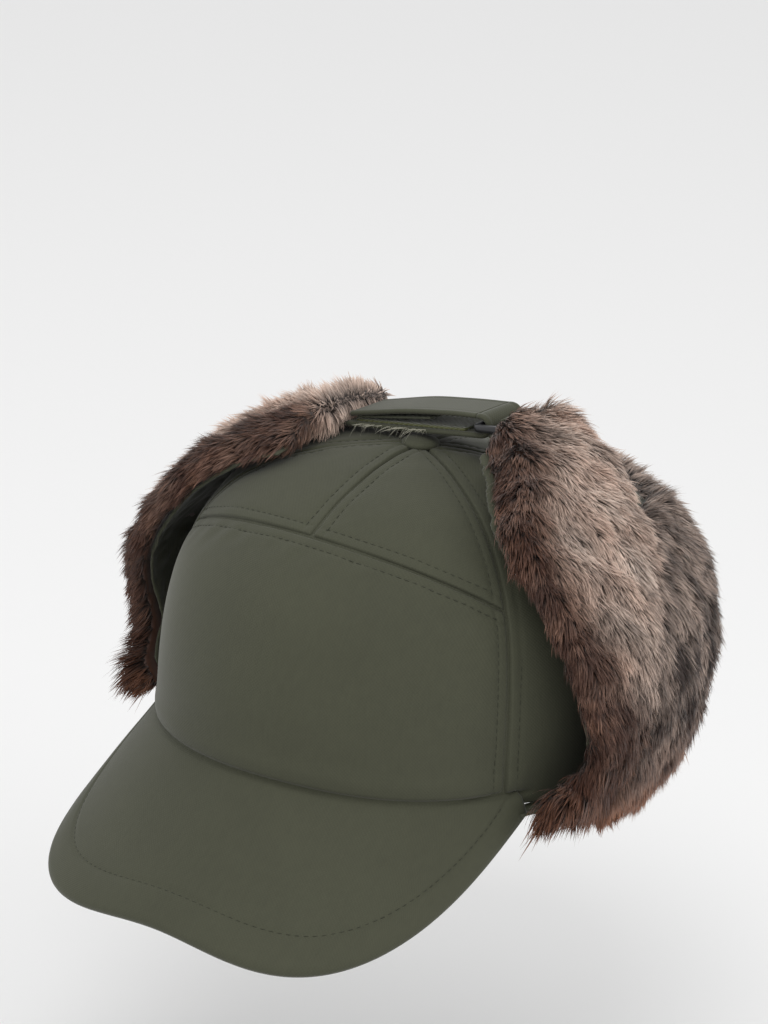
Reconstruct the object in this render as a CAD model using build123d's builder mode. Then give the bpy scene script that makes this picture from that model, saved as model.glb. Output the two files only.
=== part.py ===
"""Winter cap with a stitched visor and fur-lined ear and neck flaps, worn folded up.

The flaps stand up round the crown with their fur outside.  A strap sewn to the tip of the
right ear flap crosses over the crown, runs through a ring held by a tab on the tip of the
left ear flap, folds back and closes on itself with hook-and-loop tape.

Millimetres.  The front of the cap looks along -Y, +X is the wearer's left, +Z is up.
The origin is the centre of the head opening, on the plane of the hem.
"""
import math
import os

from build123d import *

os.makedirs("parts", exist_ok=True)

# ---- the crown -------------------------------------------------------------
HALF_WIDTH = 92.4          # outside of the hem, across the head
HALF_LENGTH = 105.5        # outside of the hem, front to back
CROWN_HEIGHT = 115.0       # hem to the top of the cloth
TOP_SHIFT = 2.5            # the top sits this far behind the centre of the hem
HEM_ARCH = 5.0             # the front of the hem rises this much over the visor
SHELL = 1.6                # outer cloth with its backing
PADDING = 3.0              # foam in front, wadding elsewhere
LINING = 1.2
SWEATBAND = 1.4
SWEATBAND_HEIGHT = 32.0
TEMPLE_ANGLE = 58.5        # seam between the front and the side panels, from straight ahead
BACK_ANGLE = 118.0         # seam between the side and the back panels
YOKE_HEIGHT = 96.0         # top edge of the front panel on the centre line
YOKE_FORWARD = 69.0        # how far ahead of the middle that edge lies
YOKE_SLOPE = 0.75          # how fast the edge drops toward the temples

# fraction of the height, fraction of the half width, fraction of the half length
CROWN_PROFILE = [
    (0.0, 1.0, 1.0),
    (0.30, 0.999, 0.987),
    (0.50, 0.985, 0.938),
    (0.65, 0.945, 0.855),
    (0.80, 0.835, 0.700),
    (0.90, 0.665, 0.520),
    (0.96, 0.450, 0.340),
    (0.99, 0.250, 0.190),
    (0.998, 0.120, 0.090),
]
BASE_DROP = 1.0            # the lofts start below the hem and are trimmed on it

# ---- how the visor and flaps follow the crown ------------------------------
# the tables and outlines below are drawn for this cap, and follow the crown when it changes
DRAWN_WIDTH, DRAWN_LENGTH, DRAWN_HEIGHT = 92.4, 105.5, 115.0
WIDER = HALF_WIDTH / DRAWN_WIDTH
LONGER = HALF_LENGTH / DRAWN_LENGTH
TIP_RISE = 14.0            # the flap tips stand this far above the top of the crown
TALLER = (CROWN_HEIGHT + TIP_RISE) / (DRAWN_HEIGHT + TIP_RISE)
DRAWN_DEPTH = 11.0         # fur and cloth together

# ---- the top button --------------------------------------------------------
BUTTON_RADIUS = 7.5
BUTTON_HEIGHT = 3.3
SHANK_RADIUS = 1.2
BUTTON_BACK_RADIUS = 6.0
BUTTON_BACK_THICK = 1.2

# ---- the visor -------------------------------------------------------------
VISOR_SLOPE = 0.886        # how fast the visor falls on the centre line
VISOR_SIDE_EASE = 0.385    # the sides fall this much more gently
VISOR_RISE = 10.0          # height of its top surface where it meets the front of the crown
VISOR_HALF_WIDTH = 89.3 * WIDER
VISOR_SPRING = 38.0 * LONGER # the widest line of its outline, ahead of the middle
VISOR_DEPTH = 50.7         # from the crown to the front edge, on the centre line
VISOR_REACH = HALF_LENGTH + VISOR_DEPTH - VISOR_SPRING
VISOR_ROUNDNESS = 0.633
VISOR_START = 44.0 * LONGER # the visor ends this far ahead of the middle
VISOR_COVER = 1.2
VISOR_BOARD = 2.4
VISOR_MARGIN = 1.6         # the board stops this far inside the covers

# ---- the flaps -------------------------------------------------------------
FUR_DEPTH = 9.4
FLAP_SHELL = 1.6
FLAP_DEPTH = FUR_DEPTH + FLAP_SHELL
FUR_STEP = 3.0             # the rear part of the ear-flap fur lies this much lower
FLAP_FRONT = 40.5 * LONGER # the ear flaps start this far ahead of the middle
NECK_ANGLE = 137.0         # ear and neck flaps part here, from straight ahead
FLAP_GAP_ANGLE = 0.35
NECK_TOP = 92.0 * TALLER
LEFT_TIP = 44.0 * WIDER    # distance of the flap tips from the centre plane
RIGHT_TIP = 37.0 * WIDER

# height, half width and half length of the outside of the fur
LEFT_PROFILE = [
    (0, 108.0, 120.5), (15, 117.0, 130.0), (40, 120.5, 133.5), (65, 117.0, 129.5), (87, 106.0, 116.0),
    (104, 91.5, 98.5), (119, 77.0, 81.5), (130, 62.0, 65.0), (136.5, 48.0, 50.0), (140, 34.0, 36.0),
]
RIGHT_PROFILE = [
    (0, 108.0, 120.5), (15, 117.0, 130.0), (40, 120.0, 133.0), (63, 115.5, 128.0), (85, 102.0, 113.5),
    (99, 89.5, 99.5), (111, 75.0, 83.0), (119, 59.0, 65.5), (125, 43.5, 48.0), (128.5, 28.0, 32.0),
]
NECK_PROFILE = [
    (0, 108.0, 120.5), (15, 117.0, 130.0), (40, 120.2, 133.2), (64, 116.0, 128.7), (86, 104.0, 114.5),
    (102, 90.0, 99.0),
]
# outlines in the side view: distance behind the middle, height
EAR_FRONT_EDGE = [
    (-40.5, 9.0), (-31.0, 19.0), (-36.0, 39.0), (-45.0, 75.0), (-43.0, 104.0),
    (-24.0, 124.0), (-10.0, 137.0), (-6.0, 150.0),
]
EAR_STEP_EDGE = [
    (-18.0, -6.0), (-17.0, 4.0), (-6.0, 40.0), (8.0, 81.0), (26.0, 103.0), (32.0, 118.0), (32.0, 150.0),
]
WING_TOP_EDGE = [(4.0, 92.0), (40.0, 97.0), (80.0, 92.0), (130.0, 84.0)]

# ---- the strap, in its own plane: along the strap and up from it -----------
STRAP_X = 28.6 * WIDER     # the ring bar the strap folds round
STRAP_Y = 12.0 * LONGER
STRAP_Z = 128.7 * TALLER
STRAP_TILT = math.degrees(math.atan(math.tan(math.radians(8.35)) * TALLER / WIDER))
STRAP_WIDTH = 24.0
STRAP_THICK = 1.8
STRAP_LENGTH = 65.3 * WIDER # from the bar to the sewn end
FOLD_RADIUS = 3.0          # inside of the fold, loose round the bar
TAIL_LENGTH = 61.0 * WIDER
TAIL_DROP = 3.7            # the tail comes this much nearer to the strap at its free end
TAPE_THICK = 1.0
TAPE_WIDTH = 20.0
RING_BAR = 3.0
RING_DEPTH = 14.0          # along the strap
RING_SIDE_GAP = 0.7        # beside the strap
TAB_THICK = 1.2
TAB_GAP = 0.3
GAP = 0.3                  # between pieces that move against each other


# ---- helpers ---------------------------------------------------------------
def crown_body(inset):
    """The crown as one solid, its surface moved inward by inset."""
    with BuildPart() as body:
        for level, across, along in CROWN_PROFILE:
            height = level * (CROWN_HEIGHT + BASE_DROP - inset) - BASE_DROP
            with BuildSketch(Plane.XY.offset(height)):
                with Locations((0, TOP_SHIFT * level)):
                    Ellipse((HALF_WIDTH - inset) * across, (HALF_LENGTH - inset) * along)
        loft()
    return body.part


def flap_body(profile, depth):
    """The space inside a flap's fur surface, moved inward by depth along the profile's normal.

    The inner face of the flap is stretched with the crown, and the flap's depth is added outward.
    """
    rows = []
    for index, (height, across, along) in enumerate(profile):
        below = profile[max(index - 1, 0)]
        above = profile[min(index + 1, len(profile) - 1)]
        rise, run = above[0] - below[0], above[1] - below[1]
        length = math.hypot(rise, run)
        out, up = rise / length, -run / length
        if index == 0:
            out, up = 1.0, 0.0
        outward = FLAP_DEPTH - depth
        rows.append((
            (height - DRAWN_DEPTH * up) * TALLER + outward * up,
            (across - DRAWN_DEPTH * out) * WIDER + outward * out,
            (along - DRAWN_DEPTH * out) * LONGER + outward * out,
        ))
    with BuildPart() as body:
        for height, across, along in rows:
            with BuildSketch(Plane.XY.offset(height)):
                Ellipse(across, along)
        loft()
    return body.part


def sector(start, end):
    """A tall wedge round the top button, from one angle to another, 0 straight ahead, + to the left."""
    steps = max(2, math.ceil((end - start) / 30))
    reach = 420.0
    corners = [(0.0, TOP_SHIFT)]
    for step in range(steps + 1):
        angle = math.radians(start + (end - start) * step / steps)
        corners.append((reach * math.sin(angle), TOP_SHIFT - reach * math.cos(angle)))
    with BuildPart() as wedge:
        with BuildSketch(Plane.XY.offset(-60)):
            with BuildLine():
                Polyline(*corners, close=True)
            make_face()
        extrude(amount=260)
    return wedge.part


def side_prism(edge, rest, start, end):
    """A side-view outline, one smooth edge closed by straight ones, carried from x = start to x = end."""
    with BuildPart() as prism:
        with BuildSketch(Plane.YZ.offset(start)):
            with BuildLine():
                if len(edge) > 2:
                    Spline(*edge)
                else:
                    Line(*edge)
                Polyline(edge[-1], *rest, edge[0])
            make_face()
        extrude(amount=end - start)
    return prism.part


def outline_points(points):
    """A side outline drawn for the reference cap, stretched to this one."""
    return [(behind * LONGER, height * TALLER) for behind, height in points]


def block(x_range, y_range, z_range):
    """A box given by its limits."""
    with BuildPart() as box:
        with Locations((x_range[0], y_range[0], z_range[0])):
            Box(x_range[1] - x_range[0], y_range[1] - y_range[0], z_range[1] - z_range[0],
                align=(Align.MIN, Align.MIN, Align.MIN))
    return box.part


def under_yoke():
    """Everything in front of and below the top edge of the front panel."""
    ahead, behind = -260.0, 60.0
    height_ahead = YOKE_HEIGHT - YOKE_SLOPE * (ahead + YOKE_FORWARD)
    height_behind = YOKE_HEIGHT - YOKE_SLOPE * (behind + YOKE_FORWARD)
    edge = [(behind, height_behind), (ahead, height_ahead)]
    return side_prism(edge, [(ahead, -60), (behind, -60)], -200, 200)


def hem_trim():
    """The material below the hem: flat, but arched over the visor in front."""
    with BuildPart() as trim:
        add(block((-220, 220), (-220, 220), (-60, 0)))
        with BuildSketch(Plane.XZ):
            with BuildLine():
                ThreePointArc((-HALF_WIDTH, 0), (0, HEM_ARCH), (HALF_WIDTH, 0))
                Line((HALF_WIDTH, 0), (-HALF_WIDTH, 0))
            make_face()
        extrude(amount=200)
    return trim.part


def shank_hole(radius):
    with BuildPart() as hole:
        with Locations((0, TOP_SHIFT, CROWN_HEIGHT)):
            Cylinder(radius, 60)
    return hole.part


def crown_layer(outer, inner):
    """One layer of the crown between two insets, trimmed on the hem and drilled for the button."""
    with BuildPart() as layer:
        add(crown_body(outer))
        add(crown_body(inner), mode=Mode.SUBTRACT)
        add(hem_trim(), mode=Mode.SUBTRACT)
        add(shank_hole(SHANK_RADIUS), mode=Mode.SUBTRACT)
    return layer.part


def save(part, label):
    part.label = label
    export_step(part, f"parts/{label}.step")


# ---- crown: outer cloth ----------------------------------------------------
shell = crown_layer(0, SHELL)
yoke = under_yoke()

with BuildPart() as front_panel:
    add(shell)
    add(sector(-TEMPLE_ANGLE, TEMPLE_ANGLE), mode=Mode.INTERSECT)
    add(yoke, mode=Mode.INTERSECT)
save(front_panel.part, "front_panel")

PANELS = [
    ("upper_panel_left", 0, TEMPLE_ANGLE, True),
    ("upper_panel_right", -TEMPLE_ANGLE, 0, True),
    ("side_panel_left", TEMPLE_ANGLE, BACK_ANGLE, False),
    ("side_panel_right", -BACK_ANGLE, -TEMPLE_ANGLE, False),
    ("back_panel_left", BACK_ANGLE, 180, False),
    ("back_panel_right", -180, -BACK_ANGLE, False),
]
for label, start, end, above_yoke in PANELS:
    with BuildPart() as panel:
        add(shell)
        add(sector(start, end), mode=Mode.INTERSECT)
        if above_yoke:
            add(yoke, mode=Mode.SUBTRACT)
    save(panel.part, label)

# ---- crown: padding, lining, sweatband -------------------------------------
padding = crown_layer(SHELL, SHELL + PADDING)
with BuildPart() as front_foam:
    add(padding)
    add(sector(-TEMPLE_ANGLE, TEMPLE_ANGLE), mode=Mode.INTERSECT)
    add(yoke, mode=Mode.INTERSECT)
save(front_foam.part, "front_foam")

with BuildPart() as crown_wadding:
    add(padding)
    add(front_foam.part, mode=Mode.SUBTRACT)
save(crown_wadding.part, "crown_wadding")

LINING_OUT = SHELL + PADDING
lining = crown_layer(LINING_OUT, LINING_OUT + LINING)
for label, start, end in [
    ("lining_front", -TEMPLE_ANGLE, TEMPLE_ANGLE),
    ("lining_left", TEMPLE_ANGLE, 180),
    ("lining_right", -180, -TEMPLE_ANGLE),
]:
    with BuildPart() as piece:
        add(lining)
        add(sector(start, end), mode=Mode.INTERSECT)
    save(piece.part, label)

BAND_OUT = LINING_OUT + LINING
with BuildPart() as sweatband:
    add(crown_layer(BAND_OUT, BAND_OUT + SWEATBAND))
    add(block((-200, 200), (-200, 200), (-5, SWEATBAND_HEIGHT)), mode=Mode.INTERSECT)
save(sweatband.part, "sweatband")

# ---- top button ------------------------------------------------------------
TOP_LEVEL = CROWN_PROFILE[-1][0]
OUTSIDE_TOP = TOP_LEVEL * (CROWN_HEIGHT + BASE_DROP) - BASE_DROP
INSIDE_TOP = TOP_LEVEL * (CROWN_HEIGHT + BASE_DROP - BAND_OUT) - BASE_DROP

with BuildPart() as top_button:
    with BuildSketch(Plane.XY.offset(OUTSIDE_TOP)):
        with Locations((0, TOP_SHIFT)):
            Circle(BUTTON_RADIUS)
    extrude(amount=BUTTON_HEIGHT)
    fillet(top_button.edges().sort_by(Axis.Z)[-1], 0.75 * BUTTON_HEIGHT)
    with BuildSketch(Plane.XY.offset(INSIDE_TOP)):
        with Locations((0, TOP_SHIFT)):
            Circle(SHANK_RADIUS)
    extrude(amount=OUTSIDE_TOP - INSIDE_TOP)
save(top_button.part, "top_button")

with BuildPart() as button_back:
    with BuildSketch(Plane.XY.offset(INSIDE_TOP - BUTTON_BACK_THICK)):
        with Locations((0, TOP_SHIFT)):
            Circle(BUTTON_BACK_RADIUS)
    extrude(amount=BUTTON_BACK_THICK)
save(button_back.part, "button_back")


# ---- visor -----------------------------------------------------------------
def visor_section(forward, depth):
    """The visor's arch cut across at a distance ahead of the middle, moved in by depth."""
    limit = 0.985 * HALF_WIDTH
    points = []
    for step in range(-12, 13):
        x = limit * math.sin(math.pi / 2 * step / 12)
        share = x / HALF_WIDTH
        hem_height = VISOR_RISE * (1 - share**2) + 0.5 * VISOR_RISE * share**4
        hem_forward = HALF_LENGTH * math.sqrt(1 - share**2)
        slope = VISOR_SLOPE - VISOR_SIDE_EASE * share**2
        points.append((x, hem_height - slope * (forward - hem_forward)))
    slant = depth * math.hypot(1, 0.7 * VISOR_SLOPE)
    moved = []
    for index, (x, height) in enumerate(points):
        left, right = points[max(index - 1, 0)], points[min(index + 1, len(points) - 1)]
        run, rise = right[0] - left[0], right[1] - left[1]
        length = math.hypot(run, rise)
        moved.append((x + slant * rise / length, height - slant * run / length))
    return moved


def visor_sheet(top, bottom):
    """A layer of the visor: straight from inside the crown to beyond the front edge."""
    with BuildPart() as sheet:
        for forward in (VISOR_START - 12, VISOR_SPRING + VISOR_REACH + 12):
            upper, lower = visor_section(forward, top), visor_section(forward, bottom)
            with BuildSketch(Plane.XZ.offset(forward)):
                with BuildLine():
                    Spline(*upper)
                    Line(upper[-1], lower[-1])
                    Spline(*reversed(lower))
                    Line(lower[0], upper[0])
                make_face()
        loft(ruled=True)
    return sheet.part


def visor_outline(margin):
    """The visor seen from above, cut short by margin all round, as a tall block."""
    points = []
    for step in range(-14, 15):
        turn = math.pi / 2 * step / 14
        across = math.copysign(abs(math.sin(turn)) ** VISOR_ROUNDNESS, turn)
        along = abs(math.cos(turn)) ** VISOR_ROUNDNESS
        points.append(((VISOR_HALF_WIDTH - margin) * across, -VISOR_SPRING - (VISOR_REACH - margin) * along))
    with BuildPart() as outline:
        with BuildSketch(Plane.XY.offset(-120)):
            with BuildLine():
                Polyline(*points)
                Line(points[-1], points[0])
            make_face()
        extrude(amount=200)
        add(block((-200, 200), (-VISOR_START - margin, 60), (-130, 90)), mode=Mode.SUBTRACT)
    return outline.part


with BuildPart() as crown_space:
    add(crown_body(0))
    with BuildSketch(Plane.XY.offset(-BASE_DROP)):
        Ellipse(HALF_WIDTH, HALF_LENGTH)
    extrude(amount=-120)

VISOR_THICK = 2 * VISOR_COVER + VISOR_BOARD

with BuildPart() as visor_board:
    add(visor_sheet(VISOR_COVER, VISOR_COVER + VISOR_BOARD))
    add(visor_outline(VISOR_MARGIN), mode=Mode.INTERSECT)
    add(crown_space.part, mode=Mode.SUBTRACT)
save(visor_board.part, "visor_board")

for label, top, bottom in [
    ("visor_top_cover", 0, VISOR_THICK / 2),
    ("visor_under_cover", VISOR_THICK / 2, VISOR_THICK),
]:
    with BuildPart() as cover:
        add(visor_sheet(top, bottom))
        add(visor_outline(0), mode=Mode.INTERSECT)
        add(crown_space.part, mode=Mode.SUBTRACT)
        add(visor_board.part, mode=Mode.SUBTRACT)
    save(cover.part, label)


# ---- ear flaps -------------------------------------------------------------
def ear_outline(side, tip):
    """Everything inside the side outline of one ear flap, from its tip outward."""
    rest = outline_points([(60, 150), (140, 84), (140, -6.0), (-40.5, -6.0)])
    with BuildPart() as outline:
        if side > 0:
            add(side_prism(outline_points(EAR_FRONT_EDGE), rest, tip, 220))
            add(sector(10, NECK_ANGLE), mode=Mode.INTERSECT)
        else:
            add(side_prism(outline_points(EAR_FRONT_EDGE), rest, -220, -tip))
            add(sector(-NECK_ANGLE, -10), mode=Mode.INTERSECT)
    return outline.part


def rear_of_step():
    """The part of an ear flap behind the step in its fur."""
    return side_prism(outline_points(EAR_STEP_EDGE), outline_points([(200, 150), (200, -6.0)]), -230, 230)


def over_wing():
    """Everything above the top edge of the rear part of an ear flap."""
    return side_prism(outline_points(WING_TOP_EDGE), outline_points([(130, 160), (4, 160)]), -230, 230)


step_space = rear_of_step()
with BuildPart() as wing_waste:
    add(step_space)
    add(over_wing(), mode=Mode.INTERSECT)

for side, word, profile, tip in [
    (1, "left", LEFT_PROFILE, LEFT_TIP),
    (-1, "right", RIGHT_PROFILE, RIGHT_TIP),
]:
    outline = ear_outline(side, tip)
    with BuildPart() as flap_shell:
        add(flap_body(profile, FUR_DEPTH))
        add(flap_body(profile, FLAP_DEPTH), mode=Mode.SUBTRACT)
        add(outline, mode=Mode.INTERSECT)
        add(wing_waste.part, mode=Mode.SUBTRACT)
    save(flap_shell.part, f"ear_flap_shell_{word}")

    with BuildPart() as front_fur:
        add(flap_body(profile, 0))
        add(flap_body(profile, FUR_DEPTH), mode=Mode.SUBTRACT)
        add(outline, mode=Mode.INTERSECT)
        add(step_space, mode=Mode.SUBTRACT)
    save(front_fur.part, f"ear_flap_fur_{word}")

    with BuildPart() as rear_fur:
        add(flap_body(profile, FUR_STEP))
        add(flap_body(profile, FUR_DEPTH), mode=Mode.SUBTRACT)
        add(outline, mode=Mode.INTERSECT)
        add(step_space, mode=Mode.INTERSECT)
        add(wing_waste.part, mode=Mode.SUBTRACT)
    save(rear_fur.part, f"ear_flap_rear_fur_{word}")

# ---- neck flap -------------------------------------------------------------
NECK_START = NECK_ANGLE + FLAP_GAP_ANGLE
with BuildPart() as neck_outline:
    add(sector(NECK_START, 360 - NECK_START))
    add(block((-220, 220), (-220, 220), (-6, NECK_TOP)), mode=Mode.INTERSECT)

with BuildPart() as neck_flap_shell:
    add(flap_body(NECK_PROFILE, FUR_DEPTH))
    add(flap_body(NECK_PROFILE, FLAP_DEPTH), mode=Mode.SUBTRACT)
    add(neck_outline.part, mode=Mode.INTERSECT)
save(neck_flap_shell.part, "neck_flap_shell")

with BuildPart() as neck_flap_fur:
    add(flap_body(NECK_PROFILE, FUR_STEP))
    add(flap_body(NECK_PROFILE, FUR_DEPTH), mode=Mode.SUBTRACT)
    add(neck_outline.part, mode=Mode.INTERSECT)
save(neck_flap_fur.part, "neck_flap_fur")

# ---- strap, ring and tab ---------------------------------------------------
TILT = math.radians(STRAP_TILT)
ALONG = (math.cos(TILT), 0, math.sin(TILT))
STRAP_PLANE = Plane(origin=(STRAP_X, STRAP_Y, STRAP_Z), x_dir=ALONG, z_dir=(0, -1, 0))
RING_PLANE = Plane(origin=(STRAP_X, STRAP_Y, STRAP_Z), x_dir=ALONG, z_dir=(-math.sin(TILT), 0, math.cos(TILT)))
FOLD_OUT = FOLD_RADIUS + STRAP_THICK
FAR_BAR = RING_DEPTH - RING_BAR
HINGE_AT = -1.15           # the tail opens here, just before the fold
TAIL_SLOPE = TAIL_DROP / TAIL_LENGTH


def strap_point(along, up):
    """A point of the strap's plane as x and z of the cap."""
    return (STRAP_X + along * math.cos(TILT) - up * math.sin(TILT),
            STRAP_Z + along * math.sin(TILT) + up * math.cos(TILT))


with BuildPart() as strap:
    with BuildSketch(STRAP_PLANE):
        with BuildLine():
            Line((-STRAP_LENGTH + GAP / 2, -FOLD_OUT), (0, -FOLD_OUT))
            ThreePointArc((0, -FOLD_OUT), (FOLD_OUT, 0), (0, FOLD_OUT))
            Polyline((0, FOLD_OUT), (HINGE_AT + GAP / 2, FOLD_OUT), (HINGE_AT + GAP / 2, FOLD_RADIUS),
                     (0, FOLD_RADIUS))
            ThreePointArc((0, FOLD_RADIUS), (FOLD_RADIUS, 0), (0, -FOLD_RADIUS))
            Polyline((0, -FOLD_RADIUS), (-STRAP_LENGTH + GAP / 2, -FOLD_RADIUS),
                     (-STRAP_LENGTH + GAP / 2, -FOLD_OUT))
        make_face()
    extrude(amount=STRAP_WIDTH / 2, both=True)
save(strap.part, "strap")

with BuildPart() as loop_tape:
    with BuildSketch(STRAP_PLANE):
        with Locations((-STRAP_LENGTH / 2 - 2, -FOLD_RADIUS + TAPE_THICK / 2)):
            Rectangle(STRAP_LENGTH - 12, TAPE_THICK)
    extrude(amount=TAPE_WIDTH / 2, both=True)
save(loop_tape.part, "loop_tape")

TAIL_START = HINGE_AT - GAP / 2
TAIL_END = TAIL_START - TAIL_LENGTH
with BuildPart() as strap_tail:
    with BuildSketch(STRAP_PLANE):
        with BuildLine():
            Polyline((TAIL_START, FOLD_OUT), (TAIL_START, FOLD_RADIUS),
                     (TAIL_END, FOLD_RADIUS - TAIL_DROP), (TAIL_END, FOLD_OUT - TAIL_DROP), close=True)
        make_face()
    extrude(amount=STRAP_WIDTH / 2, both=True)
save(strap_tail.part, "strap_tail")


def tail_underside(along):
    return FOLD_RADIUS - TAIL_SLOPE * (TAIL_START - along)


HOOK_NEAR, HOOK_FAR = TAIL_END + 38.0, TAIL_END + 2.0
with BuildPart() as hook_tape:
    with BuildSketch(STRAP_PLANE):
        with BuildLine():
            Polyline((HOOK_NEAR, tail_underside(HOOK_NEAR)), (HOOK_NEAR, tail_underside(HOOK_NEAR) - TAPE_THICK),
                     (HOOK_FAR, tail_underside(HOOK_FAR) - TAPE_THICK), (HOOK_FAR, tail_underside(HOOK_FAR)),
                     close=True)
        make_face()
    extrude(amount=TAPE_WIDTH / 2, both=True)
save(hook_tape.part, "hook_tape")

RING_INNER_WIDTH = STRAP_WIDTH + 2 * RING_SIDE_GAP
with BuildPart() as ring:
    with BuildSketch(RING_PLANE.offset(-RING_BAR / 2)):
        with Locations((FAR_BAR / 2, 0)):
            RectangleRounded(RING_DEPTH, RING_INNER_WIDTH + 2 * RING_BAR, 3.2)
            RectangleRounded(RING_DEPTH - 2 * RING_BAR, RING_INNER_WIDTH, 0.6, mode=Mode.SUBTRACT)
    extrude(amount=RING_BAR)
    ring_up = Axis((0, 0, 0), RING_PLANE.z_dir)
    fillet(ring.faces().sort_by(ring_up)[0].outer_wire().edges(), 1.1)
    fillet(ring.faces().sort_by(ring_up)[-1].outer_wire().edges(), 1.1)
save(ring.part, "ring")

# the tab: a loop round the far bar of the ring, a neck, and a plate sewn inside the left flap
TAB_WIDTH = STRAP_WIDTH - 4.0
LOOP_RADIUS = RING_BAR / 2 * math.sqrt(2) + TAB_GAP
with BuildPart() as tab_plate:
    add(flap_body(LEFT_PROFILE, FLAP_DEPTH))
    add(flap_body(LEFT_PROFILE, FLAP_DEPTH + TAB_THICK), mode=Mode.SUBTRACT)
    add(block((LEFT_TIP - 2.0, LEFT_TIP + 16), (STRAP_Y - TAB_WIDTH / 2, STRAP_Y + TAB_WIDTH / 2),
              (60 * TALLER, 150 * TALLER)), mode=Mode.INTERSECT)
plate_top = tab_plate.part.bounding_box().max.Z
loop_x, loop_z = strap_point(FAR_BAR, 0)
with BuildPart() as ring_tab:
    add(tab_plate.part)
    with BuildSketch(Plane.XZ.offset(-STRAP_Y)):
        with BuildLine():
            Polyline((LEFT_TIP - 2.0, plate_top - TAB_THICK), (LEFT_TIP - 0.4, plate_top - TAB_THICK),
                     (LEFT_TIP - 0.4, plate_top), (loop_x + 0.4, loop_z), (loop_x - 1.2, loop_z), close=True)
        make_face()
        with Locations((loop_x, loop_z)):
            Circle(LOOP_RADIUS + TAB_THICK)
            Circle(LOOP_RADIUS, mode=Mode.SUBTRACT)
    extrude(amount=TAB_WIDTH / 2, both=True)
save(ring_tab.part, "ring_tab")

# the sewn end of the strap: a patch inside the tip of the right flap
hinge_x, hinge_z = strap_point(-STRAP_LENGTH, -FOLD_RADIUS)
with BuildPart() as strap_patch:
    add(flap_body(RIGHT_PROFILE, FLAP_DEPTH))
    add(flap_body(RIGHT_PROFILE, FLAP_DEPTH + TAB_THICK), mode=Mode.SUBTRACT)
    add(block((hinge_x - 16, hinge_x - GAP / 2), (STRAP_Y - STRAP_WIDTH / 2, STRAP_Y + STRAP_WIDTH / 2),
              (60 * TALLER, 150 * TALLER)),
        mode=Mode.INTERSECT)
save(strap_patch.part, "strap_patch")
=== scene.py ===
"""Winter cap with a stitched visor and fur-lined flaps folded up, dressed over its working frame.

Lengths are worked in millimetres and turned into metres when a mesh is made.  The front of the cap
looks along -Y, +X is the wearer's left and +Z is up.
"""

import math

import bmesh
import bpy
import numpy as np
from mathutils import Matrix, Vector
from mathutils.kdtree import KDTree


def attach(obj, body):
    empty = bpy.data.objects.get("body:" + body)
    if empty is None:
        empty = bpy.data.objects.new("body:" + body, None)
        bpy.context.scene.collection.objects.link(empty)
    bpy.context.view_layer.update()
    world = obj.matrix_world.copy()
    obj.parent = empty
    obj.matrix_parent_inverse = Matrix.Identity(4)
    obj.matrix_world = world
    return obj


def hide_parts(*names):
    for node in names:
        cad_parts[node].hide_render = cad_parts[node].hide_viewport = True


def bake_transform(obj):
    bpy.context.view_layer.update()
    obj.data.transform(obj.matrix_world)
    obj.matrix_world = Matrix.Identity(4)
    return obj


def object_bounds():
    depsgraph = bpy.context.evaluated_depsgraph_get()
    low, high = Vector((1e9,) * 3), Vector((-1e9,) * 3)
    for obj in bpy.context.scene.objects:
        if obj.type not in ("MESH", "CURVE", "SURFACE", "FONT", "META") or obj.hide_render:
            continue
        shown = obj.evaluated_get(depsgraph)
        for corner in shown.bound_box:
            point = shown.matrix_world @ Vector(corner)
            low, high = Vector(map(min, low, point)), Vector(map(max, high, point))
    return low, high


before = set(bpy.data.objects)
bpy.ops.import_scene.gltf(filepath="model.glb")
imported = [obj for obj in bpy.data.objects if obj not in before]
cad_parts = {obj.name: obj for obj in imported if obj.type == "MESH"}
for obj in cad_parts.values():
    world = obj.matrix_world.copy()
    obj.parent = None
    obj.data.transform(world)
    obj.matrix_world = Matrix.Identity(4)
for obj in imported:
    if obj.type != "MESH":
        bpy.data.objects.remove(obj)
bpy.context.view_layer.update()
MM = 0.001
PI = math.pi

# ---------------------------------------------------------------- sizes, mm
HALF_WIDTH, HALF_LENGTH, CROWN_HEIGHT, TOP_SHIFT = 92.4, 105.5, 115.0, 2.5
TEMPLE, BACK = 58.5, 118.0  # angles of the upright seams from straight ahead, degrees
HEM_ARCH, YOKE_HEIGHT, YOKE_FORWARD, YOKE_SLOPE = 5.0, 96.0, 69.0, 0.75
PANEL_THICK, WADDING, LINING, SWEATBAND = 1.5, (1.7, 4.5), (4.65, 5.7), (5.85, 7.1)
SWEATBAND_HEIGHT, LAYER_TOP = 31.5, 0.985
STITCH_PITCH, SEAM_STITCH, SEAM_END, VISOR_STITCH = 3.3, 5.0, 3.5, 13.0
VISOR_HALF_WIDTH, VISOR_SPRING, VISOR_REACH, VISOR_ROUND = 89.3, 38.0, 118.2, 0.633
VISOR_ANGLE, VISOR_HALF_THICK, VISOR_LINING_AT = 66.5, 2.4, 1.3
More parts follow.
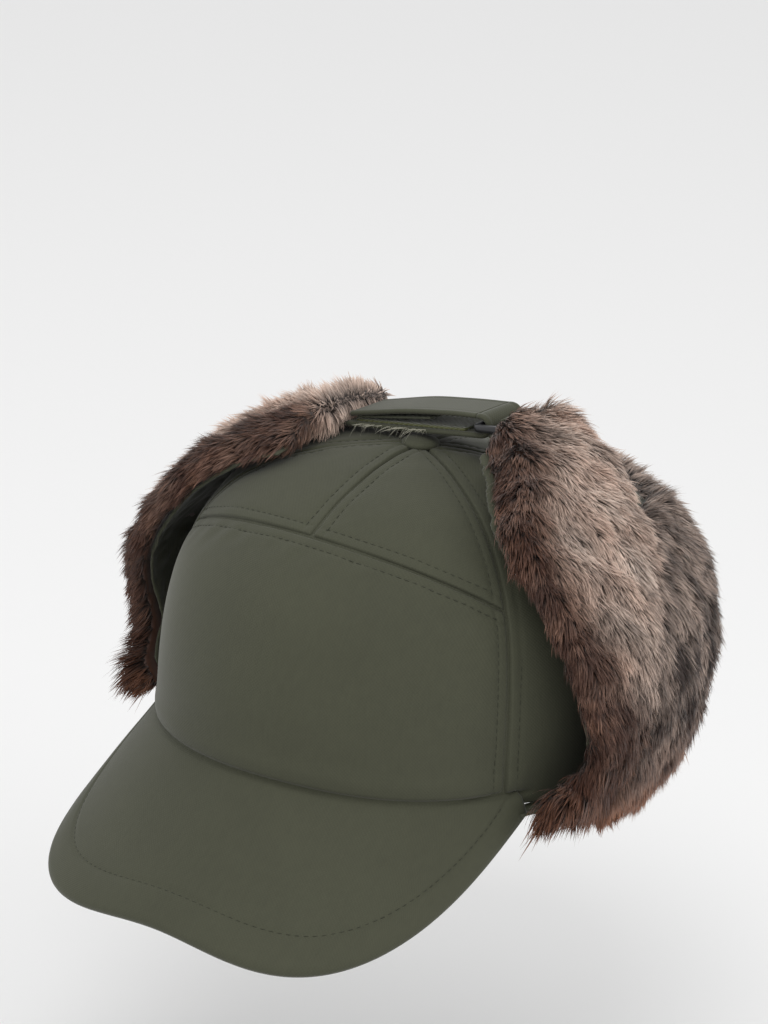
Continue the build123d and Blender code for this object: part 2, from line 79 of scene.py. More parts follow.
# the crown's profile: share of its height, of its half width and of its half length
CROWN = np.array([
    (0.0, 1.0, 1.0), (0.30, 0.999, 0.987), (0.50, 0.985, 0.938), (0.65, 0.945, 0.855),
    (0.80, 0.835, 0.700), (0.90, 0.665, 0.520), (0.96, 0.450, 0.340), (0.99, 0.250, 0.190),
    (0.998, 0.120, 0.090), (1.0, 0.012, 0.010),
])
STRAP_X, STRAP_Y, STRAP_Z, STRAP_TILT = 28.6, 12.0, 128.7, math.radians(8.35)
STRAP_WIDTH, STRAP_THICK, STRAP_LENGTH, FOLD_RADIUS = 24.0, 1.8, 65.3, 3.0
TAIL_LENGTH, TAIL_DROP, HINGE_AT, TAPE_WIDTH = 61.0, 3.7, -1.15, 20.0
RING_BAR, RING_DEPTH = 3.0, 14.0
HAIRS, HAIR_WIDTH, HAIRS_IN_A_LOCK = 39000, 0.5, 34
FLOOR_DROP = 130.0


# ---------------------------------------------------------------- meshes
def run_of(path):
    """Length along a line of points, 0 at its start."""
    return np.concatenate([[0], np.cumsum(np.linalg.norm(np.diff(path, axis=0), axis=1))])


def sample(values, reach, at):
    """Values that lie at the lengths reach, read at the lengths at."""
    return np.stack([np.interp(at, reach, values[:, k]) for k in range(values.shape[1])], 1)


def smooth_curve(points, count):
    """Catmull-Rom through the points, at even steps of its own length."""
    p = np.asarray(points, float)
    p = np.vstack([2 * p[0] - p[1], p, 2 * p[-1] - p[-2]])
    t = np.linspace(0, 1, 40, endpoint=False)[:, None]
    out = []
    for a, b, c, d in zip(p[:-3], p[1:-2], p[2:-1], p[3:]):
        bend = (2 * a - 5 * b + 4 * c - d) * t**2 + (3 * b - a - 3 * c + d) * t**3
        out.append(0.5 * (2 * b + (c - a) * t + bend))
    out = np.vstack([*out, p[-2][None]])
    reach = run_of(out)
    return sample(out, reach, np.linspace(0, reach[-1], count))


def ripples(p, scale, seed, waves=7):
    """Soft unevenness: the mean of several sine waves of the place, in random directions, about -1 to 1."""
    rng = np.random.default_rng(seed)
    turn = rng.normal(size=(waves, 3))
    turn /= np.linalg.norm(turn, axis=1)[:, None]
    size = scale * rng.uniform(0.6, 1.5, waves)
    total = sum(np.sin(p @ (turn[k] * 2 * PI / size[k]) + rng.uniform(0, 2 * PI)) for k in range(waves))
    return total / waves**0.5 / 1.2


def point_values(mesh, key, values):
    """Stores one number for each vertex."""
    stored = mesh.attributes.new(key, "FLOAT", "POINT")
    stored.data.foreach_set("value", np.asarray(values, np.float32).ravel())


def make(name, verts, faces, uv=None, **points):
    """A mesh object from arrays in mm; uv is a pair in mm for each vertex, points are extra point values."""
    mesh = bpy.data.meshes.new(name)
    verts = np.asarray(verts, np.float32).reshape(-1, 3) * MM
    faces = np.asarray(faces, np.int32)
    sides = faces.shape[1]
    mesh.vertices.add(len(verts))
    mesh.vertices.foreach_set("co", verts.ravel())
    mesh.loops.add(faces.size)
    mesh.loops.foreach_set("vertex_index", faces.ravel())
    mesh.polygons.add(len(faces))
    mesh.polygons.foreach_set("loop_start", np.arange(0, faces.size, sides, dtype=np.int32))
    mesh.polygons.foreach_set("loop_total", np.full(len(faces), sides, np.int32))
    mesh.update(calc_edges=True)
    mesh.polygons.foreach_set("use_smooth", np.ones(len(faces), bool))
    if uv is not None:
        layer = mesh.uv_layers.new(name="cloth")
        layer.data.foreach_set("uv", (np.asarray(uv, np.float32) * MM)[faces.ravel()].ravel())
    for key, value in points.items():
        point_values(mesh, key, value)
    mesh.validate()
    obj = bpy.data.objects.new(name, mesh)
    bpy.context.scene.collection.objects.link(obj)
    return obj


def grid_faces(rows, columns, closed=False):
    """Quads of a grid of rows by columns, its points row after row; closed joins the last column to the
    first."""
    i, j = np.meshgrid(np.arange(rows - 1), np.arange(columns if closed else columns - 1), indexing="ij")
    k = (j + 1) % columns
    low, high = i * columns, (i + 1) * columns
    return np.stack([low + j, low + k, high + k, high + j], -1).reshape(-1, 4)


def normals_of(g):
    """Unit normals of a grid (rows, columns, 3): the row direction crossed with the column direction."""
    n = np.cross(np.gradient(g, axis=1), np.gradient(g, axis=0))
    return n / np.maximum(np.linalg.norm(n, axis=2, keepdims=True), 1e-9)


def lengths(g, axis):
    """Length along a grid's rows (axis 1) or columns (axis 0), in mm."""
    step = np.linalg.norm(np.diff(g, axis=axis), axis=2)
    return np.concatenate([np.zeros_like(step.take([0], axis)), np.cumsum(step, axis)], axis)


def slab(name, outer, inner, uv):
    """A closed piece between an outer and an inner grid of the same size, joined round its rim."""
    rows, columns = outer.shape[:2]
    n = rows * columns
    front = grid_faces(rows, columns)
    rim = np.concatenate([
        np.arange(columns), columns - 1 + columns * np.arange(1, rows),
        n - 2 - np.arange(columns - 1), columns * np.arange(rows - 2, 0, -1),
    ])
    after = np.roll(rim, -1)
    edge = np.stack([rim, rim + n, after + n, after], 1)
    faces = np.vstack([front, front[:, ::-1] + n, edge])
    verts = np.concatenate([outer.reshape(-1, 3), inner.reshape(-1, 3)])
    obj = make(name, verts, faces, np.vstack([uv.reshape(-1, 2)] * 2))
    outward(obj)
    return obj


def outward(obj):
    """Turns every face to the outside."""
    bm = bmesh.new()
    bm.from_mesh(obj.data)
    bmesh.ops.recalc_face_normals(bm, faces=bm.faces)
    bm.to_mesh(obj.data)
    bm.free()


def baked(obj):
    """The object's modifiers become its mesh."""
    dg = bpy.context.evaluated_depsgraph_get()
    mesh = bpy.data.meshes.new_from_object(obj.evaluated_get(dg))
    obj.modifiers.clear()
    obj.data = mesh


def coords(obj):
    """A mesh's points in mm and the unit normals there."""
    co = np.empty(len(obj.data.vertices) * 3, np.float32)
    obj.data.vertices.foreach_get("co", co)
    no = np.empty_like(co)
    obj.data.vertices.foreach_get("normal", no)
    return co.reshape(-1, 3).astype(float) / MM, no.reshape(-1, 3).astype(float)


def put(obj, co):
    """Gives a mesh new points, in mm."""
    obj.data.vertices.foreach_set("co", (np.asarray(co, np.float32) * MM).ravel())
    obj.data.update()


def soft_copy(name, node, voxel, rounds):
    """A soft copy of a frame piece: an even mesh of cells that size, smoothed for that many rounds."""
    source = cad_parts[node]
    obj = bpy.data.objects.new(name, source.data.copy())
    obj.data.materials.clear()
    obj.data.transform(source.matrix_world)
    bpy.context.scene.collection.objects.link(obj)
    cells = obj.modifiers.new("cells", "REMESH")
    cells.mode, cells.voxel_size, cells.use_smooth_shade = "VOXEL", voxel * MM, True
    ease = obj.modifiers.new("ease", "SMOOTH")
    ease.factor, ease.iterations = 0.5, rounds
    baked(obj)
    return obj


# ---------------------------------------------------------------- materials
def node_group(name, inputs, outputs):
    """An empty node group with its sockets, and its entry and exit nodes."""
    group = bpy.data.node_groups.new(name, "ShaderNodeTree")
    for key, kind, value in inputs:
        socket = group.interface.new_socket(key, in_out="INPUT", socket_type=kind)
        if value is not None:
            socket.default_value = value
    for key, kind in outputs:
        group.interface.new_socket(key, in_out="OUTPUT", socket_type=kind)
    return group, group.nodes.new("NodeGroupInput"), group.nodes.new("NodeGroupOutput")


def maths(tree, kind, a, b=None, clamp=False):
    """One Math node; a and b are numbers or sockets."""
    node = tree.nodes.new("ShaderNodeMath")
    node.operation, node.use_clamp = kind, clamp
    for slot_, value in zip(node.inputs, (a, b)):
        if value is None:
            continue
        if isinstance(value, (int, float)):
            slot_.default_value = value
        else:
            tree.links.new(value, slot_)
    return node.outputs[0]


def noise(tree, vector, scale, detail=3.0):
    """Noise, 0 to 1, at the places that vector gives."""
    node = tree.nodes.new("ShaderNodeTexNoise")
    node.inputs["Scale"].default_value, node.inputs["Detail"].default_value = scale, detail
    tree.links.new(vector, node.inputs["Vector"])
    return node.outputs[0]


def shades(tree, factor, colour, spread, first=0.0, last=1.0):
    """A ramp from a darker to a lighter shade of a colour, spread to each side of it."""
    ramp = tree.nodes.new("ShaderNodeValToRGB")
    tree.links.new(factor, ramp.inputs[0])
    c = np.array(colour)
    for step, at, tone in zip(ramp.color_ramp.elements, (first, last), (1 - spread, 1 + spread)):
        step.position, step.color = at, (*(c * tone), 1)
    return ramp.outputs[0]


def weave_group():
    """Plain weave: threads over and under, u and v in metres, with slubs; height 0 to 1."""
    group, entry, leave = node_group(
        "plain weave", [("Place", "NodeSocketVector", None), ("Thread", "NodeSocketFloat", 0.0009)],
        [("Height", "NodeSocketFloat"), ("Slubs", "NodeSocketFloat")])
    split = group.nodes.new("ShaderNodeSeparateXYZ")
    group.links.new(entry.outputs["Place"], split.inputs[0])
    rate = maths(group, "DIVIDE", PI, entry.outputs["Thread"])
    u = maths(group, "SINE", maths(group, "MULTIPLY", split.outputs[0], rate))
    v = maths(group, "SINE", maths(group, "MULTIPLY", split.outputs[1], rate))
    over = maths(group, "MULTIPLY_ADD", maths(group, "MULTIPLY", u, v), 0.5)
    over.node.inputs[2].default_value = 0.5
    group.links.new(over, leave.inputs["Height"])
    stretch = group.nodes.new("ShaderNodeMapping")
    stretch.inputs["Scale"].default_value = (1.0, 0.15, 1.0)
    group.links.new(entry.outputs["Place"], stretch.inputs["Vector"])
    group.links.new(noise(group, stretch.outputs[0], 900.0, 2.0), leave.inputs["Slubs"])
    return group


WEAVE = weave_group()


def cloth(name, colour, thread=0.0007, spread=0.16, rough=0.8, sheen=0.14, by_uv=True, bump=0.14):
    """Woven cloth: thread relief with painted shade in the weave's dips and painted light on its raised
    threads, slubs, slow mottling and a little fading.
    """
    mat = bpy.data.materials.new(name)
    mat.use_nodes = True
    tree = mat.node_tree
    shader = tree.nodes["Principled BSDF"]
    place = tree.nodes.new("ShaderNodeTexCoord")
    weave = tree.nodes.new("ShaderNodeGroup")
    weave.node_tree = WEAVE
    weave.inputs["Thread"].default_value = thread
    tree.links.new(place.outputs["UV" if by_uv else "Object"], weave.inputs["Place"])
    wide = noise(tree, place.outputs["Object"], 22.0, 4.0)
    close = noise(tree, place.outputs["Object"], 260.0, 3.0)
    mix = maths(tree, "ADD", maths(tree, "MULTIPLY", wide, 0.5), maths(tree, "MULTIPLY", close, 0.22))
    mix = maths(tree, "ADD", mix, maths(tree, "MULTIPLY", weave.outputs["Slubs"], 0.28))
    # painted shade: the weave's height darkens the dips between threads and lightens the raised threads in
    # the base colour, on top of the bump
    threads = maths(tree, "MULTIPLY", weave.outputs["Height"], 0.2)
    mix = maths(tree, "ADD", maths(tree, "MULTIPLY", mix, 0.8), threads)
    tree.links.new(shades(tree, mix, colour, spread, 0.28, 0.72), shader.inputs["Base Color"])
    shader.inputs["Roughness"].default_value = rough
    shader.inputs["Specular IOR Level"].default_value = 0.3
    shader.inputs["Sheen Weight"].default_value = sheen
    shader.inputs["Sheen Roughness"].default_value = 0.45
    relief = tree.nodes.new("ShaderNodeBump")
    relief.inputs["Strength"].default_value, relief.inputs["Distance"].default_value = bump, 0.0004
    height = maths(tree, "ADD", weave.outputs["Height"], maths(tree, "MULTIPLY", close, 0.6))
    tree.links.new(height, relief.inputs["Height"])
    tree.links.new(relief.outputs[0], shader.inputs["Normal"])
    return mat


def plain(name, colour, rough, spread=0.1, scale=300.0, metal=0.0, coat=0.0, bump=0.1):
    """Moulded or metal finish with faint grain and small scuffs."""
    mat = bpy.data.materials.new(name)
    mat.use_nodes = True
    tree = mat.node_tree
    shader = tree.nodes["Principled BSDF"]
    place = tree.nodes.new("ShaderNodeTexCoord")
    grain = noise(tree, place.outputs["Object"], scale, 4.0)
    tree.links.new(shades(tree, grain, colour, spread), shader.inputs["Base Color"])
    uneven = maths(tree, "ADD", maths(tree, "MULTIPLY", grain, 0.12), rough - 0.06)
    tree.links.new(uneven, shader.inputs["Roughness"])
    shader.inputs["Metallic"].default_value = metal
    shader.inputs["Coat Weight"].default_value = coat
    relief = tree.nodes.new("ShaderNodeBump")
    relief.inputs["Strength"].default_value, relief.inputs["Distance"].default_value = bump, 0.0002
    tree.links.new(grain, relief.inputs["Height"])
    tree.links.new(relief.outputs[0], shader.inputs["Normal"])
    return mat


def fur_material(name):
    """Fur: dark at the root, taupe toward the tip, lighter or redder by each hair's own values."""
    mat = bpy.data.materials.new(name)
    mat.use_nodes = True
    tree = mat.node_tree
    shader = tree.nodes["Principled BSDF"]

    def value(key):
        """A hair's own value."""
        node = tree.nodes.new("ShaderNodeAttribute")
        node.attribute_name = key
        return node.outputs["Fac"]

    def blend_colours(a, b, factor):
        node = tree.nodes.new("ShaderNodeMix")
        node.data_type = "RGBA"
        for socket, x in ((node.inputs[6], a), (node.inputs[7], b)):
            if isinstance(x, tuple):
                socket.default_value = (*x, 1)
            else:
                tree.links.new(x, socket)
        tree.links.new(factor, node.inputs[0])
        return node.outputs[2]

    dark = blend_colours((0.019, 0.0105, 0.0073), (0.070, 0.0235, 0.0105), value("warm"))
    light = blend_colours((0.72, 0.575, 0.485), (0.42, 0.19, 0.105), value("warm"))
    tips = blend_colours(dark, light, value("shade"))
    along = maths(tree, "MULTIPLY", maths(tree, "SUBTRACT", value("along"), 0.12), 1.5, clamp=True)
    colour = blend_colours((0.016, 0.0088, 0.0062), tips, along)
    tree.links.new(colour, shader.inputs["Base Color"])
    shader.inputs["Roughness"].default_value = 0.55
    shader.inputs["Specular IOR Level"].default_value = 0.35
    shader.inputs["Sheen Weight"].default_value = 0.15
    return mat


OLIVE = (0.0495, 0.0515, 0.0315)
MAT = {
    "olive": cloth("olive_cloth", OLIVE),
    "olive_loose": cloth("olive_cloth_loose", OLIVE, by_uv=False),
    "thread": cloth("olive_thread", (0.030, 0.032, 0.019), thread=0.0005, by_uv=False, sheen=0.1),
    "pale_thread": cloth("frayed_thread", (0.36, 0.35, 0.28), thread=0.0005, by_uv=False, sheen=0.1),
    "foam": plain("foam", (0.75, 0.74, 0.70), 0.9, scale=900, bump=0.6),
    "lining": cloth("lining_cloth", (0.05, 0.058, 0.04), thread=0.0006, rough=0.55, sheen=0.2),
    "band": cloth("sweatband_cloth", (0.06, 0.066, 0.045), thread=0.0014),
    "metal": plain("button_metal", (0.6, 0.6, 0.6), 0.35, metal=1.0),
    "board": plain("visor_plastic", (0.8, 0.8, 0.8), 0.55),
    "fur": fur_material("fur"),
    "loop": cloth("loop_tape", (0.075, 0.08, 0.03), thread=0.0012, by_uv=False, bump=0.9, sheen=0.4),
    "hook": cloth("hook_tape", (0.07, 0.075, 0.05), thread=0.0012, by_uv=False, bump=0.9, sheen=0.1),
    "ring": plain("ring_plastic", (0.012, 0.012, 0.014), 0.33, scale=120, coat=0.15, bump=0.05),
}


def dress(obj, finish, body, *nodes):
    """Gives a piece its material and the body it moves with, and hides the frame pieces it stands for."""
    obj.data.materials.clear()
    obj.data.materials.append(MAT[finish])
    if nodes:
        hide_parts(*nodes)
    if body:
        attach(obj, body)
    return obj


# ---------------------------------------------------------------- crown
def crown_at(angle, level, inset):
    """The crown's surface.  angle in degrees round the button, 0 ahead and + to the left; level 0 to 1 from
    the hem to the button along the profile's own length.  The ray at that angle from (0, TOP_SHIFT) meets the
    ellipse of that level: R = (qc/B2 + sqrt((qc/B2)^2 - K(q^2/B2 - 1))) / K with K = s^2/A^2 + c^2/B^2."""
    step = np.linspace(0, 1, len(PROFILE))
    t, sx, sy = (np.interp(level, step, PROFILE[:, k]) for k in range(3))
    a, b = (HALF_WIDTH - inset) * sx, (HALF_LENGTH - inset) * sy
    s, c, q = np.sin(np.radians(angle)), np.cos(np.radians(angle)), TOP_SHIFT * (1 - t)
    k = s**2 / a**2 + c**2 / b**2
    r = (q * c / b**2 + np.sqrt((q * c / b**2) ** 2 - k * (q**2 / b**2 - 1))) / k
    return np.stack([r * s, TOP_SHIFT - r * c, t * (CROWN_HEIGHT + 1 - inset) - 1], -1)


def scaled_profile():
    """The crown's profile at even steps of its length."""
    size = np.array([CROWN_HEIGHT, HALF_WIDTH, HALF_LENGTH])
    return smooth_curve(CROWN * size, 600) / size


PROFILE = scaled_profile()


def level_where(angle, above, inset):
    """The level at which above(point) turns positive on each angle's column, by halving."""
    low, high = np.zeros_like(angle), np.ones_like(angle)
    for _ in range(26):
        mid = (low + high) / 2
        over = above(crown_at(angle, mid, inset)) > 0
        low, high = np.where(over, low, mid), np.where(over, mid, high)
    return (low + high) / 2


def over_hem(p):
    """Height above the hem, which arches up over the visor."""
    arch = np.where(p[..., 1] < 0, HEM_ARCH * (1 - (p[..., 0] / HALF_WIDTH) ** 2), 0.0)
    return p[..., 2] - arch


def over_yoke(p):
    """Height above the sloping plane that cuts the front panel from the upper panels."""
    return p[..., 2] - YOKE_HEIGHT + YOKE_SLOPE * (p[..., 1] + YOKE_FORWARD)


def tight(count):
    """Steps from 0 to 1 that crowd toward both ends: s - 0.13 sin(2 pi s)."""
    s = np.linspace(0, 1, count)
    return s - 0.13 * np.sin(2 * PI * s)


def crown_grid(start, end, low, high, inset, rows, columns):
    """Points of a panel: angles start to end, and on each the levels from low to high."""
    angle = start + (end - start) * tight(columns)
    bottom = low(angle) if callable(low) else np.full(columns, low)
    top = high(angle) if callable(high) else np.full(columns, high)
    share = tight(rows)[:, None]
    return crown_at(np.broadcast_to(angle, (rows, columns)), bottom + (top - bottom) * share, inset)


def levels_of(above):
    """For an inset, and then for angles, the levels at which above turns positive."""
    return lambda inset: lambda angle: level_where(angle, above, inset)


hem_level, yoke_level = levels_of(over_hem), levels_of(over_yoke)
sweatband_level = levels_of(lambda p: p[..., 2] - SWEATBAND_HEIGHT)


def bell(d, width):
    """exp(-(d / width)^2)."""
    return np.exp(-((d / width) ** 2))


def seam_dip(d):
    """Depth of the cloth at distance d from a seam: it rolls down into the seam and pinches at the
    stitching."""
    return -2.2 * bell(d, 0.7) - 0.12 * bell(d, 2.5) - 0.22 * bell(d - SEAM_STITCH, 0.9)


def pucker(run, beside, width):
    """Puckers one stitch long on a sewn line: run is the length along it, beside the distance from it."""
    return (0.5 + 0.5 * np.cos(run / STITCH_PITCH * 2 * PI)) * bell(beside, width)


def facing_out(g):
    """A crown grid's normals, turned away from the head."""
    n = normals_of(g)
    return n * np.sign((n * (g - (0, 0, 30))).sum(2).mean())


STITCHES = {"place": [], "along": [], "up": []}


def stitch_row(path, normal):
    """Marks stitches, one pitch apart, on a line of points."""
    reach = run_of(path)
    at = np.arange(1.7, reach[-1] - 1.7, STITCH_PITCH)
    STITCHES["place"].append(sample(path, reach, at))
    STITCHES["along"].append(sample(np.gradient(path, axis=0), reach, at))
    STITCHES["up"].append(sample(normal, reach, at))


def sew(name, finish, body):
    """Every marked stitch as a small raised stadium of thread, 2.2 x 0.4 x 0.3 mm."""
    place, along, up = (np.vstack(STITCHES[k]) for k in ("place", "along", "up"))
    for key in STITCHES:
        STITCHES[key].clear()
    along /= np.linalg.norm(along, axis=1)[:, None]
    up /= np.linalg.norm(up, axis=1)[:, None]
    side = np.cross(up, along)
    turn = np.linspace(0, 2 * PI, 6, endpoint=False)
    ring_at = np.array([(-1.1, 0.25), (-0.7, 1.0), (0.0, 1.15), (0.7, 1.0), (1.1, 0.25)])
    shape = np.array([(x, 0.19 * r * math.cos(t), 0.15 * r * math.sin(t) - 0.06 * (x / 1.1) ** 2)
                      for x, r in ring_at for t in turn])
    x, y, z = (shape[None, :, k:k + 1] for k in range(3))
    verts = place[:, None] + x * along[:, None] + y * side[:, None] + z * up[:, None]
    one = grid_faces(len(ring_at), 6, closed=True)
    faces = (one[None] + (np.arange(len(place)) * len(shape))[:, None, None]).reshape(-1, 4)
    obj = make(name, verts.reshape(-1, 3), faces)
    outward(obj)
    return dress(obj, finish, body)


def visor_height(x, forward):
    """Top of the visor: the hem's arch, falling forward at a slope that eases to the sides."""
    s = x / HALF_WIDTH
    hem_forward = HALF_LENGTH * np.sqrt(np.clip(1 - s**2, 0, 1))
    return 10.0 * (1 - s**2) + 5.0 * s**4 - (0.886 - 0.385 * s**2) * (forward - hem_forward)


def panel(name, start, end, low, high, rows, columns, seams, puff, seed, node):
    """An outer panel: the crown's surface, raised by puff in the middle and dipped along its seams.
    seams names the edges that are sewn: s start, e end, t top, b bottom."""
    g = crown_grid(start, end, low, high, 0.0, rows, columns)
    n = facing_out(g)
    u, v = lengths(g, 1), lengths(g, 0)
    edges = {"s": u, "e": u[:, -1:] - u, "b": v, "t": v[-1:] - v}
    nearest = np.min([edges[k] for k in seams], 0)
    lift = puff * (1 - np.exp(-((nearest / 16.0) ** 1.5))) - puff * 0.2
    lift += sum(seam_dip(edges[k]) for k in seams)
    flat = g.reshape(-1, 3)
    if "b" not in seams:
        hem_forward = HALF_LENGTH * np.sqrt(np.clip(1 - (g[..., 0] / HALF_WIDTH) ** 2, 0, 1))
        over_visor = g[..., 2] - visor_height(g[..., 0], hem_forward)
        ahead = np.clip((-35 - g[..., 1]) / 8, 0, 1)
        lift += ahead * (0.6 * bell(over_visor - 6, 4) - 1.9 * bell(over_visor, 1.3))
    lift += 0.35 * ripples(flat, 60.0, seed).reshape(lift.shape)
    crease = ripples(flat * (1.0, 1.0, 0.4), 15.0, seed + 50).reshape(lift.shape)
    lift += 0.22 * crease * bell(nearest - 7, 9.0)
    for key in seams:
        lift -= 0.12 * pucker(u if key in "tb" else v, edges[key] - SEAM_STITCH, 1.4)
    outer = g + n * lift[..., None]
    middle = columns // 2
    obj = slab(name, outer, g - n * PANEL_THICK, np.stack([u - u[:, middle:middle + 1], v], -1))
    surface = outer + n * 0.12
    for key in [k for k in "tb" if k in seams]:
        i, j = np.abs(edges[key] - SEAM_STITCH).argmin(0), np.arange(columns)
        keep = np.minimum(u[i, j], u[i, -1] - u[i, j]) > SEAM_END
        stitch_row(eased(surface[i, j][keep]), n[i, j][keep])
    for key in [k for k in "es" if k in seams]:
        i, j = np.arange(rows), np.abs(edges[key] - SEAM_STITCH).argmin(1)
        keep = (np.minimum(v[i, j], v[-1, j] - v[i, j]) > SEAM_END) & (u[i, -1] > 14)
        stitch_row(eased(surface[i, j][keep]), n[i, j][keep])
    return dress(obj, "olive", "crown", node)


def eased(path, rounds=12):
    """A line of points with its small steps smoothed out, its ends kept."""
    path = path.copy()
    for _ in range(rounds):
        path[1:-1] = (path[:-2] + 2 * path[1:-1] + path[2:]) / 4
    return path


hem, yoke = hem_level(0), yoke_level(0)
panel("front_panel_cloth", -TEMPLE, TEMPLE, hem, yoke, 110, 170, "set", 2.2, 1, "front_panel")
panel("upper_panel_left_cloth", 0, TEMPLE, yoke, 1.0, 90, 80, "seb", 0.9, 2, "upper_panel_left")
panel("upper_panel_right_cloth", -TEMPLE, 0, yoke, 1.0, 90, 80, "seb", 0.9, 3, "upper_panel_right")
for word, start, end, seed in (("side_panel_left", TEMPLE, BACK, 4), ("side_panel_right", -BACK, -TEMPLE, 5),
                               ("back_panel_left", BACK, 180, 6), ("back_panel_right", -180, -BACK, 7)):
    panel(f"{word}_cloth", start, end, hem, 1.0, 120, 60, "se", 0.9, seed, word)
sew("crown_topstitch", "thread", "crown")


def layer(name, node, start, end, insets, low, high, finish, wave, seed, rows=36, columns=80):
    """An inner layer of the crown between two insets, its inner face uneven by wave."""
    a, b = (crown_grid(start, end, low(inset), high(inset) if callable(high) else high, inset, rows, columns)
            for inset in insets)
    uneven = wave * ripples(b.reshape(-1, 3), 28.0, seed).reshape(b.shape[:2]) + 0.15
    obj = slab(name, a, b + facing_out(b) * uneven[..., None], np.stack([lengths(a, 1), lengths(a, 0)], -1))
    return dress(obj, finish, "crown", node)


foam = layer("front_foam_pad", "front_foam", -TEMPLE, TEMPLE, WADDING, hem_level, yoke_level, "foam", 0.1, 11)
wadding = layer("crown_wadding_top", "crown_wadding", -TEMPLE, TEMPLE, WADDING, yoke_level, LAYER_TOP,
                "foam", 0.1, 12)
wadding_back = layer("crown_wadding_back", "crown_wadding", TEMPLE, 360 - TEMPLE, WADDING, hem_level,
                     LAYER_TOP, "foam", 0.1, 13, columns=140)
for word, start, end, seed in (("front", -TEMPLE, TEMPLE, 14), ("left", TEMPLE, 180, 15),
                               ("right", -180, -TEMPLE, 16)):
    layer(f"lining_{word}_cloth", f"lining_{word}", start, end, LINING, hem_level, LAYER_TOP,
          "lining", 0.5, seed, 54, 90)
layer("sweatband_cloth_piece", "sweatband", -180, 180, SWEATBAND, hem_level, sweatband_level,
      "band", 0.12, 17, 20, 260)


# ---------------------------------------------------------------- button
def turned(name, profile, centre, steps=48):
    """A profile of (radius, height) turned round the vertical through centre; its ends lie on the axis."""
    p = np.asarray(profile, float)
    turn = np.linspace(0, 2 * PI, steps, endpoint=False)
    radius, height = p[:, :1], np.broadcast_to(p[:, 1:], (len(p), steps))
    v = np.stack([radius * np.cos(turn), radius * np.sin(turn), height], -1)
    obj = make(name, v.reshape(-1, 3) + np.asarray(centre), grid_faces(len(p), steps, closed=True),
               np.stack([v[..., 0], v[..., 1]], -1).reshape(-1, 2))
    bm = bmesh.new()
    bm.from_mesh(obj.data)
    bmesh.ops.remove_doubles(bm, verts=bm.verts, dist=1e-6)
    bmesh.ops.recalc_face_normals(bm, faces=bm.faces)
    bm.to_mesh(obj.data)
    bm.free()
    return obj


top = 0.998 * (CROWN_HEIGHT + 1) - 1
dome = [(7.5 * math.sin(t), top + 0.2 + 3.0 * math.cos(t) ** 0.8) for t in np.linspace(0, PI / 2 - 0.01, 16)]
post = [(7.2, top - 0.8), (1.2, top - 1.0), (1.15, top - 6.5), (0, top - 6.6)]
button = turned("top_button_cloth", [(0, dome[0][1])] + dome[1:] + post, (0, TOP_SHIFT, 0))
dress(button, "olive_loose", "crown", "top_button")
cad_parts["button_back"].data.materials.clear()
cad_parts["button_back"].data.materials.append(MAT["metal"])


# ---------------------------------------------------------------- visor
def visor_grid(rows, columns, margin):
    """Plan of the visor, from the crown's ellipse to the outline x = W |sin|^e, y = -S - D |cos|^e, with W
    its half width, S where it springs, D its reach and e its roundness, cut short by margin; both run from
    side to side."""
    q = np.linspace(-1, 1, columns)
    q = np.sin(q * PI / 2) * 0.35 + q * 0.65
    turn = np.radians(VISOR_ANGLE) * q
    base = np.stack([(HALF_WIDTH - 0.6) * np.sin(turn), -(HALF_LENGTH - 0.6) * np.cos(turn)], 1)
    reach = VISOR_REACH - margin
    last = math.acos((4.0 / reach) ** (1 / VISOR_ROUND))
    rim_turn = last * np.sign(q) * np.abs(q) ** 1.5
    rim = np.stack([(VISOR_HALF_WIDTH - margin) * np.sign(q) * np.abs(np.sin(rim_turn)) ** VISOR_ROUND,
                    -VISOR_SPRING - reach * np.cos(rim_turn) ** VISOR_ROUND], 1)
    run = run_of(rim)
    rim = sample(rim, run, np.linspace(0, run[-1], columns))
    share = np.linspace(0, 1, rows)[:, None, None]
    return base[None] * (1 - share) + rim[None] * share


def visor_surface(rows, columns, margin):
    """The visor's top before it is sewn, as a grid, and its upward normals."""
    plan = visor_grid(rows, columns, margin)
    g = np.concatenate([plan, visor_height(plan[..., 0], -plan[..., 1])[..., None]], 2)
    n = normals_of(g)
    return g, n * np.sign(n[..., 2].mean())


